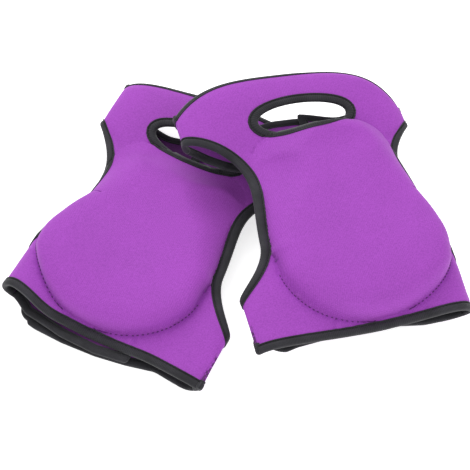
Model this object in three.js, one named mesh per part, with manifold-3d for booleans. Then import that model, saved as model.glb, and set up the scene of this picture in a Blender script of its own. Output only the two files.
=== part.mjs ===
// A pair of wrap-around garden knee pads, lying on their backs, one pad resting on the other.
// Millimetres, +Z up. Each pad is drawn in its own frame, as the right-hand pad:
//   u across the pad (towards the outer side of the pair), v up the leg, w away from the leg.
import * as THREE from 'three';
import { mergeVertices } from 'three/addons/utils/BufferGeometryUtils.js';
import Module from 'manifold-3d';

const wasm = await Module();
wasm.setup();

// ---- driving dimensions ---------------------------------------------------------------------

const PAD_LENGTH = 290; // front panel on its centre line, binding included
const LOWER_HALF = 110; // half width of the calf band, lying flat
const UPPER_HALF = 120; // half width of the thigh band, lying flat
const NEOPRENE = 4; // thickness of the foam-rubber sheet
const BINDING_WIDTH = 4; // edge tape beyond the sheet
const BINDING_THICK = 6;
const ARC_RATIO = 1.06; // length over the front sheet, of its width lying flat
const GAP = 0.8; // between a sheet and the tape round its edge
const SIDE_GAP = 2; // the same where the edge curves

const CROWN_LOW = 20; // height of the front sheet over the calf band
const CROWN_HIGH = 35; // height of the front sheet at its upper edge
const FOLD_INNER = 12.5; // height of the bend at each side
const FOLD_OUTER = 20;
const HUMP_INNER = 6; // the sheet stands up beside each bend
const HUMP_OUTER = 14;
const HUMP_PEAK = 2.6; // brings the peak of the hump's curve to one
const FOLD_RETURN = 16; // front sheet carried round each bend
const BEND_REACH = 26; // width of the bend under the pad
const TOP_DROP = 32; // the upper edge falls this much towards the bends

const BAND_LOW = 50; // top of the calf band at the bend
const BAND_HIGH = 222; // bottom of the thigh band at the bend
const FLARE_LOW = 53; // height of the curve from the calf band to the waist
const FLARE_HIGH = 77; // height of the curve from the waist to the thigh band

const FOAM_THICK = 24; // both foam layers together
const FOAM_FOOT = 6; // flat margin inside the stitching
const FOAM_EDGE = 18; // width of the rounding at the foam's edge
const FOAM_HALF_LOW = 88; // half width of the foam at its widest
const FOAM_HALF_HIGH = 76; // and near its top
const FOAM_BOTTOM = 11; // lowest point of the stitched outline
const FOAM_WIDEST = 72; // height where the rounded bottom meets the sides
const FOAM_TOP = 210;
const FOAM_CORNER = 28;
const FOAM_SHIFT_LOW = 18; // the pattern lies off centre, towards the outer side
const FOAM_SHIFT_HIGH = 25;
const WAIST_MARGIN = 5; // sheet beyond the foam at the waist
const COMFORT_THICK = 8; // the soft foam layer on the knee side
const LINING_THICK = 1.2;

const HOLE = { u: 10, v: 237, halfWidth: 50, halfHeight: 18 };

const OUTER_LEVEL = 2.2; // mid height of the outer straps
const INNER_LEVEL = 9.6; // mid height of the inner straps
const PATCH_THICK = 1.2;
const INNER_TAPE_START = 86; // where the inner straps' tape starts, clear of the bend
const TIP_CORNER = 10; // radius of the free ends' corners

const THREAD = 1;

// Where each pad lies. The left pad is a mirror image and lies flat; the right one leans on it.
const LEFT_PLACE = { x: -129.1, y: -118.5, z: -0.2, yaw: -26, pitch: 0, roll: 0 };
const RIGHT_PLACE = { x: 120.2, y: -122.8, z: 17.6, yaw: 16.7, pitch: 5.5, roll: 10.6 };

const LEFT_DROP = { outerRoot: 6, outerTip: 20, innerRoot: 6, innerTip: 13 };
const RIGHT_DROP = { outerRoot: 4, outerTip: 5, innerRoot: 3, innerTip: 4 };

const PURPLE = { color: 0xa557bd, roughness: 0.85, metalness: 0 };
const BLACK = { color: 0x2f2f34, roughness: 0.8, metalness: 0 };
const FOAM = { color: 0x3a3a3e, roughness: 0.95, metalness: 0 };
const CREAM = { color: 0xd9d2bd, roughness: 0.95, metalness: 0 };
const THREAD_PURPLE = { color: 0x5a2468, roughness: 0.7, metalness: 0 };

// ---- small helpers --------------------------------------------------------------------------

const clamp01 = (x) => Math.min(Math.max(x, 0), 1);
const mix = (a, b, t) => a + (b - a) * t;

function smooth(from, to, x) {
  const t = clamp01((x - from) / (to - from));
  return t * t * (3 - 2 * t);
}

// A closed block with nu by nv cells, bent by toPoint(a, b, face): a and b run from 0 to 1 and
// face is -1 on the side towards the leg and +1 on the side away from it.
function bentBlock(nu, nv, toPoint) {
  const geometry = new THREE.BoxGeometry(1, 1, 2, nu, nv, 1);
  geometry.deleteAttribute('normal');
  geometry.deleteAttribute('uv');
  const solid = mergeVertices(geometry, 1e-4);
  const position = solid.attributes.position;
  for (let i = 0; i < position.count; i += 1) {
    const p = toPoint(position.getX(i) + 0.5, position.getY(i) + 0.5, position.getZ(i));
    position.setXYZ(i, p.x, p.y, p.z);
  }
  return solid;
}

function toManifold(geometry) {
  return new wasm.Manifold(new wasm.Mesh({
    numProp: 3,
    vertProperties: new Float32Array(geometry.attributes.position.array),
    triVerts: new Uint32Array(geometry.index.array),
  }));
}

function fromManifold(solid) {
  const mesh = solid.getMesh();
  const geometry = new THREE.BufferGeometry();
  geometry.setAttribute('position', new THREE.BufferAttribute(mesh.vertProperties, 3));
  geometry.setIndex(new THREE.BufferAttribute(mesh.triVerts, 1));
  return geometry;
}

function named(name, geometry, look) {
  const mesh = new THREE.Mesh(geometry, new THREE.MeshStandardMaterial(look));
  mesh.name = name;
  return mesh;
}

// ---- shape of the lying sleeve --------------------------------------------------------------

const halfWidth = (v) => mix(LOWER_HALF, UPPER_HALF, smooth(50, 210, v));
const halfArc = (v) => halfWidth(v) * ARC_RATIO;
const crown = (v) => mix(CROWN_LOW, CROWN_HIGH, smooth(185, 270, v));
const foamCentre = (v) => mix(FOAM_SHIFT_LOW, FOAM_SHIFT_HIGH, smooth(60, 200, v));
const foamHalf = (v) => mix(FOAM_HALF_LOW, FOAM_HALF_HIGH, smooth(60, 205, v));
const topEdge = (x) => PAD_LENGTH - TOP_DROP * x * x;

// Height of the front sheet, without the foam, at x = u / halfWidth.
function frontHeight(x, v) {
  const c = Math.sqrt(Math.max(1 - x * x, 0));
  const fold = mix(FOLD_INNER, FOLD_OUTER, smooth(-0.6, 1, x));
  const hump = mix(HUMP_INNER, HUMP_OUTER, smooth(-0.3, 0.3, x)) * (1 - 0.6 * smooth(60, 130, v));
  return fold + (crown(v) - fold) * c + hump * HUMP_PEAK * c * x * x;
}

// Distance inside the foam's outline, negative outside it.
function foamInset(u, v) {
  const p = Math.abs(u - foamCentre(v));
  if (v < FOAM_WIDEST) {
    const drop = FOAM_WIDEST - v;
    const radius = Math.hypot(p / FOAM_HALF_LOW, drop / (FOAM_WIDEST - FOAM_BOTTOM));
    return radius < 0.2 ? FOAM_EDGE * 2 : Math.hypot(p, drop) * (1 / radius - 1);
  }
  const side = foamHalf(v) - p;
  const top = FOAM_TOP - v;
  if (side < FOAM_CORNER && top < FOAM_CORNER) {
    return FOAM_CORNER - Math.hypot(FOAM_CORNER - side, FOAM_CORNER - top);
  }
  return Math.min(side, top);
}

// Half width of the foam's outline at one height.
function outlineHalf(v) {
  if (v < FOAM_WIDEST) {
    const t = (FOAM_WIDEST - v) / (FOAM_WIDEST - FOAM_BOTTOM);
    return FOAM_HALF_LOW * Math.sqrt(Math.max(1 - t * t, 0));
  }
  const t = clamp01((v - (FOAM_TOP - FOAM_CORNER)) / FOAM_CORNER);
  return foamHalf(v) - FOAM_CORNER * (1 - Math.sqrt(1 - t * t));
}

// How far the foam lifts the front sheet.
function bulge(u, v) {
  const t = clamp01((foamInset(u, v) - FOAM_FOOT) / FOAM_EDGE);
  return FOAM_THICK * Math.sin((Math.PI / 2) * t);
}

// A point of the sleeve at developed distance s from its centre: the front sheet up to the bend,
// then the bend, then flat along the back. The inner side ends low and the outer side higher.
function sleeve(s, v, withFoam = true) {
  const arc = halfArc(v);
  const half = halfWidth(v);
  const side = Math.sign(s) || 1;
  if (Math.abs(s) <= arc) {
    const x = Math.sin((Math.PI / 2) * (s / arc));
    const u = x * half;
    return new THREE.Vector3(u, v, frontHeight(x, v) + (withFoam ? bulge(u, v) : 0));
  }
  const foldHeight = frontHeight(side, v);
  const level = side < 0 ? OUTER_LEVEL : INNER_LEVEL;
  const rise = foldHeight - level;
  const quarter = (Math.PI / 2) * Math.sqrt((BEND_REACH ** 2 + rise ** 2) / 2);
  const past = Math.abs(s) - arc;
  const angle = (Math.PI / 2) * clamp01(past / quarter);
  const flat = Math.max(past - quarter, 0);
  const u = half - BEND_REACH * (1 - Math.cos(angle)) - flat;
  return new THREE.Vector3(side * u, v, foldHeight - rise * Math.sin(angle));
}

// The same point moved by an offset along the sheet's outward normal.
function sleeveOffset(s, v, offset, withFoam = true) {
  const step = 0.5;
  const along = sleeve(s + step, v, withFoam).sub(sleeve(s - step, v, withFoam));
  const up = sleeve(s, v + step, withFoam).sub(sleeve(s, v - step, withFoam));
  const normal = along.cross(up).normalize();
  return sleeve(s, v, withFoam).addScaledVector(normal, offset);
}

// Developed distance of the sheet's cut edge at height v: the waist, flared into both bands.
const bandEdge = (v) => halfArc(v) + FOLD_RETURN;

function waistEdge(side, v) {
  const x = THREE.MathUtils.clamp((foamCentre(v) + side * foamHalf(v)) / halfWidth(v), -1, 1);
  return halfArc(v) * (2 / Math.PI) * Math.abs(Math.asin(x)) + WAIST_MARGIN;
}

function cutEdge(side, v) {
  const low = clamp01(1 - (v - BAND_LOW) / FLARE_LOW);
  const high = clamp01(1 - (BAND_HIGH - v) / FLARE_HIGH);
  if (v <= BAND_LOW || v >= BAND_HIGH) {
    return bandEdge(v);
  }
  const flare = 2 - Math.sqrt(1 - low * low) - Math.sqrt(1 - high * high);
  return mix(waistEdge(side, v), bandEdge(v), Math.min(flare, 1));
}

// ---- front of the pad -----------------------------------------------------------------------

const SIDE_CELLS = 14;

// Height of the side cut's edge and the way it faces, from the calf band (t = 0) up to the thigh band.
function sideStation(t) {
  const lowPart = 0.43;
  const highPart = 0.5;
  if (t < lowPart) {
    const angle = (Math.PI / 2) * (t / lowPart);
    return { v: BAND_LOW + FLARE_LOW * (1 - Math.cos(angle)), turn: Math.PI / 2 - angle };
  }
  if (t > highPart) {
    const angle = (Math.PI / 2) * ((t - highPart) / (1 - highPart));
    return { v: BAND_HIGH - FLARE_HIGH * (1 - Math.sin(angle)), turn: -angle };
  }
  const v = mix(BAND_LOW + FLARE_LOW, BAND_HIGH - FLARE_HIGH, (t - lowPart) / (highPart - lowPart));
  return { v, turn: 0 };
}

const SIDE_ROWS = Array.from({ length: SIDE_CELLS + 1 }, (_, i) => sideStation(i / SIDE_CELLS).v);
const TOP_RUN = 40; // rows from the thigh band up to the upper edge, before they follow its curve
const TOP_BLEND = 34; // over which the rows start to follow it
const PANEL_ROWS = [0, 9, 18, 27, 38, ...SIDE_ROWS, 236, 256, BAND_HIGH + TOP_RUN];
const PANEL_COLUMNS = 24;

// The hole through the front sheet, as a prism that passes through it.
function holeCutter(margin) {
  const outline = new THREE.Shape();
  outline.absellipse(HOLE.u, HOLE.v, HOLE.halfWidth + margin, HOLE.halfHeight + margin, 0, 2 * Math.PI);
  const prism = new THREE.ExtrudeGeometry(outline, { depth: 60, bevelEnabled: false, curveSegments: 14 });
  prism.deleteAttribute('normal');
  prism.deleteAttribute('uv');
  prism.translate(0, 0, INNER_LEVEL - NEOPRENE);
  return mergeVertices(prism, 1e-4);
}

function bodyPanel() {
  const rows = PANEL_ROWS.length - 1;
  const margin = BINDING_WIDTH + GAP;
  const geometry = bentBlock(PANEL_COLUMNS, rows, (a, b, face) => {
    const row = Math.max(PANEL_ROWS[Math.round(b * rows)], margin);
    const s = mix(-cutEdge(-1, row), cutEdge(1, row), a);
    const x = THREE.MathUtils.clamp(s / halfArc(row), -1, 1);
    const limit = topEdge(Math.sin((Math.PI / 2) * x)) - margin;
    const raised = mix(BAND_HIGH, limit, (row - BAND_HIGH) / TOP_RUN);
    const v = mix(row, raised, smooth(BAND_HIGH, BAND_HIGH + TOP_BLEND, row));
    return sleeveOffset(s, v, (face * NEOPRENE) / 2);
  });
  return fromManifold(toManifold(geometry).subtract(toManifold(holeCutter(margin))));
}

// A layer that fills the pocket's outline, between two heights above the bare front sheet.
function pocketLayer(nu, nv, inset, low, high) {
  const bottom = FOAM_BOTTOM + inset;
  const top = FOAM_TOP - inset;
  return bentBlock(nu, nv, (a, b, face) => {
    const t = 0.5 - 0.5 * Math.cos(Math.PI * b);
    const v = mix(bottom + 1.5, top - 0.5, t);
    const shape = (v - bottom) / (top - bottom);
    const outlineV = mix(FOAM_BOTTOM, FOAM_TOP, shape);
    const u = foamCentre(v) + (2 * a - 1) * Math.max(outlineHalf(outlineV) - inset, 8);
    const base = frontHeight(u / halfWidth(v), v);
    return new THREE.Vector3(u, v, base + (face < 0 ? low(u, v) : high(u, v)));
  });
}

const LAYER_GAP = 0.7;
const LINING_INSET = 1; // from the pocket's outline
const COMFORT_INSET = 12;
const EVA_INSET = 22;
const EVA_TOP_GAP = 4; // under the sheet, which is coarser than the foam
const EVA_MIN = 1.5;
const liningFace = -NEOPRENE / 2 - GAP;

function pocketLining() {
  return pocketLayer(12, 9, LINING_INSET, () => liningFace - LINING_THICK, () => liningFace);
}

function comfortFoam() {
  return pocketLayer(12, 9, COMFORT_INSET, () => liningFace + LAYER_GAP, () => liningFace + COMFORT_THICK);
}

function evaFoam() {
  const low = liningFace + COMFORT_THICK + LAYER_GAP;
  const high = (u, v) => Math.max(bulge(u, v) - NEOPRENE / 2 - EVA_TOP_GAP, low + EVA_MIN);
  return pocketLayer(12, 9, EVA_INSET, () => low, high);
}

// ---- edge tape ------------------------------------------------------------------------------

// A bar along a path in the developed sheet. path(t) gives { s, v, ds, dv }: a point of the cut
// edge and the direction, in the sheet, that points off it.
function edgeTape(cells, gap, path) {
  return bentBlock(cells, 1, (a, b, face) => {
    const p = path(a);
    const reach = gap + b * BINDING_WIDTH;
    return sleeveOffset(p.s + p.ds * reach, p.v + p.dv * reach, (face * BINDING_THICK) / 2);
  });
}

function topBinding() {
  const edge = BINDING_WIDTH + GAP;
  return edgeTape(24, GAP, (t) => {
    const arc = halfArc(PAD_LENGTH - TOP_DROP);
    const s = mix(-arc - FOLD_RETURN, arc + FOLD_RETURN, t);
    const x = Math.sin((Math.PI / 2) * THREE.MathUtils.clamp(s / arc, -1, 1));
    return { s, v: topEdge(x) - edge, ds: 0, dv: 1 };
  });
}

function bottomBinding() {
  const arc = halfArc(0);
  return edgeTape(24, GAP, (t) => ({
    s: mix(arc + FOLD_RETURN, -arc - FOLD_RETURN, t), v: BINDING_WIDTH + GAP, ds: 0, dv: -1,
  }));
}

// The C-shaped cut at one side, from the calf band to the thigh band.
function sideBinding(side) {
  return edgeTape(SIDE_CELLS, SIDE_GAP, (t) => {
    const { v, turn } = sideStation(side > 0 ? 1 - t : t);
    return { s: side * cutEdge(side, v), v, ds: side * Math.cos(turn), dv: Math.sin(turn) };
  });
}

// The tape round the hole: a ring with a diamond section, stretched to the hole and laid on the sheet.
function holeBinding() {
  const ringRadius = 2;
  const ring = new THREE.TorusGeometry(ringRadius, 1, 4, 32);
  ring.deleteAttribute('normal');
  ring.deleteAttribute('uv');
  const solid = mergeVertices(ring, 1e-4);
  const position = solid.attributes.position;
  const point = new THREE.Vector3();
  for (let i = 0; i < position.count; i += 1) {
    point.fromBufferAttribute(position, i);
    const angle = Math.atan2(point.y, point.x);
    const across = Math.hypot(point.x, point.y) - ringRadius;
    const reach = BINDING_WIDTH / 2 + (across * BINDING_WIDTH) / 2;
    const u = HOLE.u + (HOLE.halfWidth + reach) * Math.cos(angle);
    const v = HOLE.v + (HOLE.halfHeight + reach) * Math.sin(angle);
    const height = frontHeight(u / halfWidth(v), v) + (point.z * BINDING_THICK) / 2;
    position.setXYZ(i, u, v, height);
  }
  return solid;
}

const STITCH_OUTSIDE = 2.5; // from the foam's outline
const STITCH_LIFT = 5.4; // clear of the sheet where it starts to rise over the foam
const STITCH_END = 1.5; // angles round the rounded bottom, from its lowest point
const STITCH_BREAK = 0.18;

// Thread along the pocket's outline, from angle a0 to a1 of the rounded bottom.
function pocketStitching(a0, a1) {
  return bentBlock(22, 1, (a, b, face) => {
    const angle = mix(a1, a0, a);
    const reach = STITCH_OUTSIDE + b * THREAD;
    const v = FOAM_WIDEST - (FOAM_WIDEST - FOAM_BOTTOM + reach) * Math.cos(angle);
    const u = foamCentre(v) + (FOAM_HALF_LOW + reach) * Math.sin(angle);
    const x = u / halfWidth(v);
    const lift = NEOPRENE / 2 + STITCH_LIFT + (face * THREAD) / 2;
    return new THREE.Vector3(u, v, frontHeight(x, v) + lift);
  });
}

// ---- straps at the back ---------------------------------------------------------------------

const DROP_SHARE = 0.7; // how far a calf strap's upper edge follows its lower edge down

// Lower and upper edge of a strap, as a function of its position u across the back. Its free end
// bends open at hinge.
const STRAPS = {
  lower: {
    mid: 25,
    low: (u, drop) => -drop,
    high: (u, drop) => BAND_LOW - drop * DROP_SHARE,
    hinge: -8,
    tip: 97,
    innerTip: 8,
    patch: [28, 80],
  },
  upper: {
    mid: 235,
    low: (u) => mix(192, BAND_HIGH, smooth(62, 122, Math.abs(u))),
    high: (u) => 246 + 12 * smooth(50, 115, Math.abs(u)) + 10 * (1 - smooth(10, 60, Math.abs(u))),
    hinge: 30,
    tip: 124,
    innerTip: 13,
    patch: [34, 84],
  },
};

// Developed distance at which the flat part of a strap passes u, on either side of the sleeve.
function backDistance(kind, side, u) {
  const v = STRAPS[kind].mid;
  const rise = (side < 0 ? FOLD_INNER - OUTER_LEVEL : FOLD_OUTER - INNER_LEVEL);
  const quarter = (Math.PI / 2) * Math.sqrt((BEND_REACH ** 2 + rise ** 2) / 2);
  return halfArc(v) + quarter + halfWidth(v) - BEND_REACH - side * u;
}

// The part of a strap that is sewn to the front panel: round the bend and flat to endU.
function strapRoot(kind, side, endU, dropAt, margin) {
  const strap = STRAPS[kind];
  const start = halfArc(strap.mid) + FOLD_RETURN + GAP;
  const end = backDistance(kind, side, endU);
  return bentBlock(10, 1, (a, b, face) => {
    const s = side < 0 ? -mix(end, start, a) : mix(start, end, a);
    const point = sleeveOffset(s, strap.mid, (face * NEOPRENE) / 2, false);
    const low = strap.low(point.x, dropAt(point.x)) + margin;
    const high = strap.high(point.x, dropAt(point.x)) - margin;
    point.y = mix(low, high, b);
    return point;
  });
}

// The edge of a strap's free end: along its lower edge, round the tip and back along the upper
// edge. t runs from 0 to 1; du and dv point off the edge.
function tipRoute(kind, rootU, tipU, dropAt, corner, t) {
  const strap = STRAPS[kind];
  const toward = Math.sign(tipU - rootU);
  const endU = tipU - toward * BINDING_WIDTH;
  const low = strap.low(endU, dropAt(endU)) + BINDING_WIDTH;
  const high = strap.high(endU, dropAt(endU)) - BINDING_WIDTH;
  if (t <= 0.3) {
    const u = mix(rootU, endU - toward * corner, t / 0.3);
    return { u, v: strap.low(u, dropAt(u)) + BINDING_WIDTH, du: 0, dv: -1 };
  }
  if (t >= 0.7) {
    const u = mix(endU - toward * corner, rootU, (t - 0.7) / 0.3);
    return { u, v: strap.high(u, dropAt(u)) - BINDING_WIDTH, du: 0, dv: 1 };
  }
  const round = clamp01((t - 0.3) / 0.1) + clamp01((t - 0.6) / 0.1);
  const angle = (Math.PI / 2) * (round - 1);
  return {
    u: endU - toward * corner * (1 - Math.cos(angle)),
    v: mix(low + corner, high - corner, clamp01((t - 0.4) / 0.2)) + corner * Math.sin(angle),
    du: toward * Math.cos(angle),
    dv: Math.sin(angle),
  };
}

function tipTape(kind, rootU, tipU, level, dropAt, corner) {
  return bentBlock(20, 1, (a, b, face) => {
    const p = tipRoute(kind, rootU, tipU, dropAt, corner, tipU > rootU ? 1 - a : a);
    const reach = b * BINDING_WIDTH;
    return new THREE.Vector3(p.u + p.du * reach, p.v + p.dv * reach, level + (face * NEOPRENE) / 2);
  });
}

// The flat free end inside its tape.
function tabPlate(kind, dropAt) {
  const outline = new THREE.Shape();
  for (let i = 0; i <= 20; i += 1) {
    const p = tipRoute(kind, STRAPS[kind].hinge, STRAPS[kind].tip, dropAt, TIP_CORNER, i / 20);
    outline[i ? 'lineTo' : 'moveTo'](p.u - p.du * GAP, p.v - p.dv * GAP);
  }
  outline.closePath();
  const plate = new THREE.ExtrudeGeometry(outline, { depth: NEOPRENE, bevelEnabled: false });
  plate.deleteAttribute('normal');
  plate.deleteAttribute('uv');
  plate.translate(0, 0, OUTER_LEVEL - NEOPRENE / 2);
  return mergeVertices(plate, 1e-4);
}

const PATCH_MARGIN = 10; // from the strap's edges
const PATCH_GAP = 0.3; // between a patch and its strap

// A hook or loop patch, clear of the strap's edges.
function patch(kind, z, dropAt) {
  const strap = STRAPS[kind];
  return bentBlock(1, 1, (a, b, face) => {
    const u = mix(strap.patch[0], strap.patch[1], a);
    const v = mix(strap.low(u, dropAt(u)) + PATCH_MARGIN, strap.high(u, dropAt(u)) - PATCH_MARGIN, b);
    return new THREE.Vector3(u, v, face < 0 ? z : z + PATCH_THICK);
  });
}

// ---- one pad --------------------------------------------------------------------------------

function makePad(prefix, drop) {
  const pad = new THREE.Group();
  const add = (name, geometry, look) => pad.add(named(`${prefix}_${name}`, geometry, look));
  add('body_panel', bodyPanel(), PURPLE);
  add('pocket_lining', pocketLining(), BLACK);
  add('comfort_foam', comfortFoam(), CREAM);
  add('eva_foam', evaFoam(), FOAM);
  add('top_binding', topBinding(), BLACK);
  add('bottom_binding', bottomBinding(), BLACK);
  add('inner_side_binding', sideBinding(-1), BLACK);
  add('outer_side_binding', sideBinding(1), BLACK);
  add('hole_binding', holeBinding(), BLACK);
  add('pocket_stitching_inner', pocketStitching(-STITCH_END, -STITCH_BREAK), THREAD_PURPLE);
  add('pocket_stitching_outer', pocketStitching(STITCH_BREAK, STITCH_END), THREAD_PURPLE);
  const outerDrop = (u) => mix(drop.outerRoot, drop.outerTip, smooth(-40, 60, u));
  const innerDrop = (u) => mix(drop.innerTip, drop.innerRoot, smooth(0, 110, u));
  const tapeRoom = BINDING_WIDTH + GAP;
  const hookZ = OUTER_LEVEL + NEOPRENE / 2 + PATCH_GAP;
  const loopZ = INNER_LEVEL - NEOPRENE / 2 - PATCH_GAP - PATCH_THICK;
  for (const kind of ['upper', 'lower']) {
    const { hinge, tip, innerTip } = STRAPS[kind];
    add(`${kind}_outer_strap`, strapRoot(kind, -1, hinge - GAP, outerDrop, 0), PURPLE);
    add(`${kind}_tab`, tabPlate(kind, outerDrop), PURPLE);
    add(`${kind}_tab_binding`, tipTape(kind, hinge, tip, OUTER_LEVEL, outerDrop, TIP_CORNER), BLACK);
    add(`${kind}_hook_patch`, patch(kind, hookZ, outerDrop), BLACK);
    add(`${kind}_inner_strap`, strapRoot(kind, 1, innerTip + tapeRoom, innerDrop, tapeRoom), PURPLE);
    add(`${kind}_inner_binding`, tipTape(kind, INNER_TAPE_START, innerTip, INNER_LEVEL, innerDrop, 1), BLACK);
    add(`${kind}_loop_patch`, patch(kind, loopZ, innerDrop), BLACK);
  }
  return pad;
}

function place(pad, at, mirror) {
  const holder = new THREE.Group();
  holder.rotation.order = 'ZXY';
  holder.rotation.set(
    THREE.MathUtils.degToRad(at.pitch),
    THREE.MathUtils.degToRad(at.roll),
    THREE.MathUtils.degToRad(at.yaw),
  );
  holder.position.set(at.x, at.y, at.z);
  pad.scale.x = mirror ? -1 : 1;
  holder.add(pad);
  return holder;
}

const kneePads = new THREE.Group();
kneePads.add(place(makePad('left', LEFT_DROP), LEFT_PLACE, true));
kneePads.add(place(makePad('right', RIGHT_DROP), RIGHT_PLACE, false));

export default kneePads;
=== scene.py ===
"""A pair of wrap-around garden knee pads lying on a pale floor, the right pad leaning on the left one.

Each pad is worked out in millimetres in its own frame (u across the pad towards its outer side, v up the
leg, w away from the leg) and then carried to its place. Sheets are cut flat in their own developed
plane, meshed there, and bent into shape, so every edge tape and stitch follows the same cut line.
"""
import math

import bpy
import numpy as np
from mathutils import Euler, Matrix, Vector
from mathutils.geometry import delaunay_2d_cdt


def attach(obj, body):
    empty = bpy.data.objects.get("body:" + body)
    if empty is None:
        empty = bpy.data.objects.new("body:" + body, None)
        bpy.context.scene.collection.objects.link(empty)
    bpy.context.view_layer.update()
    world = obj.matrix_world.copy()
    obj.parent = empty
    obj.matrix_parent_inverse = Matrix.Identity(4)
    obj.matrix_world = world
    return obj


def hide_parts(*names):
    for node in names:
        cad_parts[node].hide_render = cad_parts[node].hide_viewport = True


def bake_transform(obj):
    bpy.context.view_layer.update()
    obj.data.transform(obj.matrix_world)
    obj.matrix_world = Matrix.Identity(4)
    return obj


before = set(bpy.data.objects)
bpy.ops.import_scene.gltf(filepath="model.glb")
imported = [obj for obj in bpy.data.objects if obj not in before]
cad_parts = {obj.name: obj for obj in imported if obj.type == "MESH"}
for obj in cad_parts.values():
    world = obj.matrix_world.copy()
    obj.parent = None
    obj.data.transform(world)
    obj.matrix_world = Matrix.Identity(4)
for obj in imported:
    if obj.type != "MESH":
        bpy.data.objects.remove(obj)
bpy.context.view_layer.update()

# ---- dimensions, in millimetres, the same as the frame's ----

PAD_LENGTH = 290
LOWER_HALF, UPPER_HALF = 110, 120
ARC_RATIO = 1.06
CROWN_LOW, CROWN_HIGH = 20, 45
FOLD_INNER_HIGH, FOLD_OUTER = 25, 20
HUMP_INNER, HUMP_OUTER = 6, 14
FOLD_RETURN, BEND_REACH = 16, 26
BAND_LOW = 50
FLARE_LOW = 53
# The cut towards the thigh band: where it ends, where it starts, and how square its corner is.
HIGH_CUT = {-1: (230, 145, 2.9), 1: (222, 158, 2.2)}
FOAM_THICK = 24
FOAM_HALF_LOW, FOAM_HALF_HIGH = 88, 76
FOAM_BOTTOM, FOAM_WIDEST, FOAM_TOP, FOAM_CORNER = 11, 72, 210, 28
FOAM_SHIFT_LOW, FOAM_SHIFT_HIGH = 18, 25
WAIST_MARGIN = {-1: 5, 1: -5}
OUTER_LEVEL, INNER_LEVEL = 2.2, 9.6
HOLE_HALF_WIDTH, HOLE_HALF_HEIGHT = 48, 14

SHEET_HALF = 1.6  # half the neoprene's thickness
PILLOW_CORNER = 34
INNER_WIDER = 9.0  # the cushion reaches out to the inner side's tape
OVER_TAPE = 6.0  # and over the outer side's
SHOULDER_LOW, SHOULDER_HIGH, SHOULDER_SOFT = 19.0, 13.0, 34.0  # width of the cushion's rounding
CREST = 1.6  # rise from the shoulder to the cushion's middle
OVERHANG_WAIST = 6.0  # the cushion leans out over the outer side's tape
SIDE_OUTER = 6.0  # from the waist's cut line to the tape's outer edge
TAPE_SEAT = 1.6  # from the tape's outer edge to the sheet's cut edge
TAPE_WIDTH = 9.0  # how far the tape reaches over the sheet
HOLE_TAPE_WIDTH = 8.4
TAPE_HALF, HOLE_TAPE_HALF = 3.0, 3.1  # half the folded tape's thickness
SEAM_INSET = 1.8  # from the tape's inner edge to its stitches
RIM_STEP = 2.4  # spacing of points along cut edges and tapes

# Where each pad lies (turn is pitch, roll and yaw in degrees) and how it has settled. The calf edge sags
# down the leg and towards the straps; the upper edge rolls over by an angle and falls towards each side by
# a drop and a power. The cushion's outer side lies slimmer than the CAD's foam, and its upper end is
# softer. The straps' lower edges drop by tables of position and drop.
PADS = {
    "left": {
        "at": (-129.1, -118.5, -0.2), "turn": (0, 0, -26), "mirror": True,
        "sag_v": 9, "sag_w": 7, "sag_inner": 1.5, "sag_outer": 0.0, "roll": 40,
        "top_inner": (30, 3), "top_outer": (12, 2), "fold_inner": 21, "fold_outer_high": 29, "fold_rise": 0,
        "overhang_low": 3.5, "hole": (14, 229), "pillow_top": 214, "soft_outer": 0.9, "soft_top": 0.75,
        "slim_outer": 24.0, "slim_top": 0.35,
        "outer_drop": (
            (-125, 15), (-105, 15), (-60, 9), (-31, 15), (0, 19), (36, 20), (67, 18), (92, 13),
        ),
        "inner_drop": ((-34, 16), (0, 20), (38, 18), (70, 12), (100, 8), (120, 6)),
    },
    "right": {
        "at": (120.2, -122.8, 17.6), "turn": (5.5, 10.6, 16.7), "mirror": False,
        "sag_v": 3, "sag_w": 8, "sag_inner": 1.0, "sag_outer": 1.0, "roll": 72,
        "top_inner": (27, 4), "top_outer": (46, 4), "fold_inner": 12.5, "fold_outer_high": 20, "fold_rise": 9,
        "overhang_low": 0.8, "hole": (5.5, 234.5), "pillow_top": 221, "soft_outer": 0.45, "soft_top": 0.0,
        "slim_outer": 13.0, "slim_top": 0.9,
        "outer_drop": ((-125, 6), (-100, 7), (-68, 0), (-28, -3.5), (25, -8), (97, -8)),
        "inner_drop": ((-34, -9), (10, -3), (60, 4), (120, 3)),
    },
}
MM = 0.001


# ---- small helpers ----


def mix(a, b, t):
    return a + (b - a) * t


def smooth(start, end, x):
    t = np.clip((x - start) / (end - start), 0, 1)
    return t * t * (3 - 2 * t)


def bell(x, width):
    return np.exp(-((x / width) ** 2))


# ---- the lying sleeve ----


def half_width(v):
    return mix(LOWER_HALF, UPPER_HALF, smooth(50, 210, v))


def half_arc(v):
    return half_width(v) * ARC_RATIO


def foam_centre(v):
    return mix(FOAM_SHIFT_LOW, FOAM_SHIFT_HIGH, smooth(60, 200, v))


def foam_half(v):
    return mix(FOAM_HALF_LOW, FOAM_HALF_HIGH, smooth(60, 205, v))


def slim(v, pad):
    """How much narrower than the CAD's foam the cushion lies on its outer side."""
    return pad["slim_outer"] * np.clip((v - 48) / 80, 0, 1) * mix(1, pad["slim_top"], smooth(105, 225, v))


def developed(u, v):
    """Developed distance from the centre line at which the bare front passes u."""
    return half_arc(v) * (2 / math.pi) * np.arcsin(np.clip(u / half_width(v), -1, 1))


def top_edge(x, pad):
    drop, power = (np.where(x > 0, pad["top_outer"][k], pad["top_inner"][k]) for k in (0, 1))
    return PAD_LENGTH - drop * np.abs(x) ** power


def folds(v, pad):
    """Height of the bend at the inner and at the outer side."""
    inner = mix(pad["fold_inner"], FOLD_INNER_HIGH, smooth(110, 200, v))
    return inner, mix(FOLD_OUTER, pad["fold_outer_high"], smooth(170, 240, v))


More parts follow.
